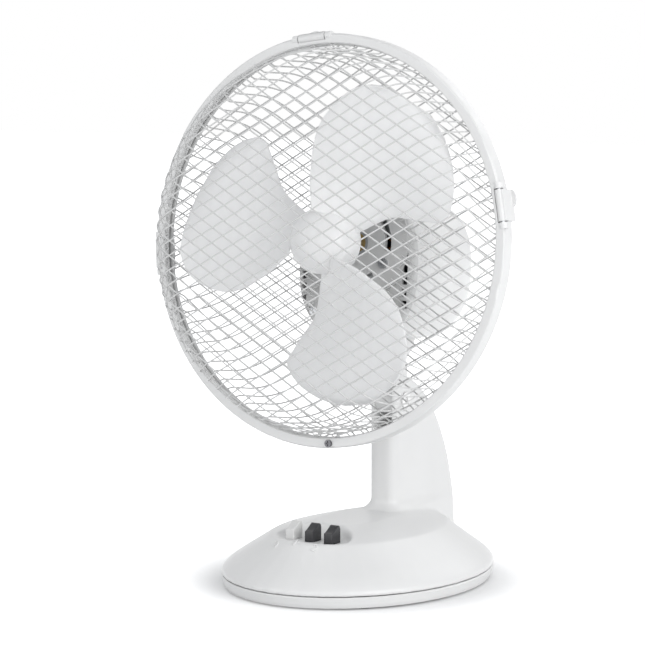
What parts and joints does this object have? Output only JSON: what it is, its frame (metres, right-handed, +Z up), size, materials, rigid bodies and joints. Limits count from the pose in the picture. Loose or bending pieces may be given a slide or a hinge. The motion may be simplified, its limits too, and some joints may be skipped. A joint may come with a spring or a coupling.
{
  "type": "oscillating_desk_fan",
  "caption": "White oscillating desk fan: domed oval base with three speed keys, fin-shaped column, tilting neck, wire-mesh guards and twisted blades.",
  "frame": {"origin": "centre of the base's underside, on the plane of the rubber feet", "axes": "+Z up; the fan blows towards -Y; +X is to the right of someone who faces the fan"},
  "size_m": [0.2861, 0.2163, 0.3786],
  "materials": {
    "white_shell": "semi-gloss moulded ABS",
    "cover_grey": "fine matt moulded ABS",
    "white_wire": "epoxy powder coat, white",
    "key_white": "smooth moulded ABS",
    "key_grey": "fine matt moulded ABS, dark grey",
    "blade_white": "glossy moulded AS plastic",
    "dark_plastic": "plain moulded",
    "nylon": "natural nylon",
    "foot_rubber": "plain",
    "steel": "bright zinc plated",
    "lamination": "stacked laminations, varnished",
    "die_cast": "plain die cast zinc alloy",
    "sintered": "sintered bronze",
    "enamelled_wire": "enamelled copper wire, taped"
  },
  "bodies": {
    "stand": {"stand_housing": "white_shell", "base_plate": "white_shell", "base_screws": "steel", "rubber_feet": "foot_rubber", "switch_block": "dark_plastic", "switch_screws": "steel", "tilt_bolt": "steel", "tilt_nut": "steel"},
    "off_key": {"key_off": "key_white"},
    "low_key": {"key_low": "key_grey"},
    "high_key": {"key_high": "key_grey"},
    "neck": {"neck": "white_shell", "pivot_post": "steel", "thrust_washer": "nylon", "post_circlip": "steel"},
    "link": {"swing_link": "steel"},
    "head": {"gearbox_housing": "die_cast", "gearbox_screws": "steel", "stator_core": "lamination", "stator_coils": "enamelled_wire", "front_bracket": "die_cast", "rear_bracket": "die_cast", "front_bearing": "sintered", "rear_bearing": "sintered", "motor_bolts": "steel", "motor_front_cover": "cover_grey", "motor_rear_cover": "white_shell", "cover_screws": "steel", "rear_guard_mesh": "white_wire", "rear_guard_plate": "cover_grey", "rear_guard_rim": "white_wire", "guard_plate_screws": "steel", "front_guard_mesh": "white_wire", "front_guard_rim": "white_wire", "retaining_ring": "white_shell", "ring_screw": "steel", "ring_nut": "steel", "clip_pins": "steel"},
    "rotor": {"motor_shaft": "steel", "rotor_core": "lamination", "fan_blade": "blade_white", "blade_pin": "steel"},
    "worm_wheel": {"worm_gear_wheel": "nylon"},
    "crank": {"swing_crank_gear": "sintered"},
    "knob": {"swing_knob": "white_shell"},
    "top_clip": {"clip_top": "white_shell"},
    "right_clip": {"clip_right": "white_shell"},
    "left_clip": {"clip_left": "white_shell"}
  },
  "joints": [
    {"name": "off_travel", "type": "slide", "parent": "stand", "child": "off_key", "axis": [0, 0, 1], "range_m": [-0.004, 0], "stiffness_N_per_m": 500},
    {"name": "low_travel", "type": "slide", "parent": "stand", "child": "low_key", "axis": [0, 0, 1], "range_m": [-0.004, 0], "stiffness_N_per_m": 500},
    {"name": "high_travel", "type": "slide", "parent": "stand", "child": "high_key", "axis": [0, 0, 1], "range_m": [-0.004, 0], "stiffness_N_per_m": 500},
    {"name": "head_tilt", "type": "hinge", "parent": "stand", "child": "neck", "pos_m": [0, 0.042, 0.12], "axis": [-1, 0, 0], "range_deg": [-15, 15]},
    {"name": "head_swing", "type": "hinge", "parent": "neck", "child": "head", "pos_m": [0, 0.042, 0.12], "axis": [0, 0.0872, 0.9962], "range_deg": [-38, 38]},
    {"name": "blade_spin", "type": "hinge", "parent": "head", "child": "rotor", "pos_m": [0, -0.04821, 0.2363], "axis": [0, 0.9962, -0.0872], "continuous": true},
    {"name": "worm_wheel_spin", "type": "hinge", "parent": "head", "child": "worm_wheel", "pos_m": [0.0144, 0.05938, 0.22689], "axis": [0, 0.0872, 0.9962], "continuous": true},
    {"name": "crank_spin", "type": "hinge", "parent": "head", "child": "crank", "pos_m": [0.014, 0.07328, 0.21363], "axis": [0, 0.0872, 0.9962], "continuous": true},
    {"name": "link_swing", "type": "hinge", "parent": "neck", "child": "link", "pos_m": [0.014, 0.0474, 0.18176], "axis": [0, 0.0872, 0.9962], "range_deg": [-45, 45]},
    {"name": "knob_pull", "type": "slide", "parent": "head", "child": "knob", "axis": [0, 0.0872, 0.9962], "range_m": [0, 0.005]},
    {"name": "top_clip_turn", "type": "hinge", "parent": "head", "child": "top_clip", "pos_m": [-0.01651, -0.0318, 0.36987], "axis": [0.9925, 0.0106, 0.1214], "range_deg": [0, 75]},
    {"name": "right_clip_turn", "type": "hinge", "parent": "head", "child": "right_clip", "pos_m": [0.13254, -0.04107, 0.26396], "axis": [0.2079, -0.0853, -0.9744], "range_deg": [0, 75]},
    {"name": "left_clip_turn", "type": "hinge", "parent": "head", "child": "left_clip", "pos_m": [-0.13476, -0.04476, 0.22179], "axis": [-0.1045, 0.0867, 0.9907], "range_deg": [0, 75]}
  ],
  "couplings": [
    {"joint": "worm_wheel_spin", "follows": "blade_spin", "ratio": 0.033333},
    {"joint": "crank_spin", "follows": "blade_spin", "ratio": -0.011111},
    {"joint": "link_swing", "follows": "head_swing", "ratio": 1}
  ]
}
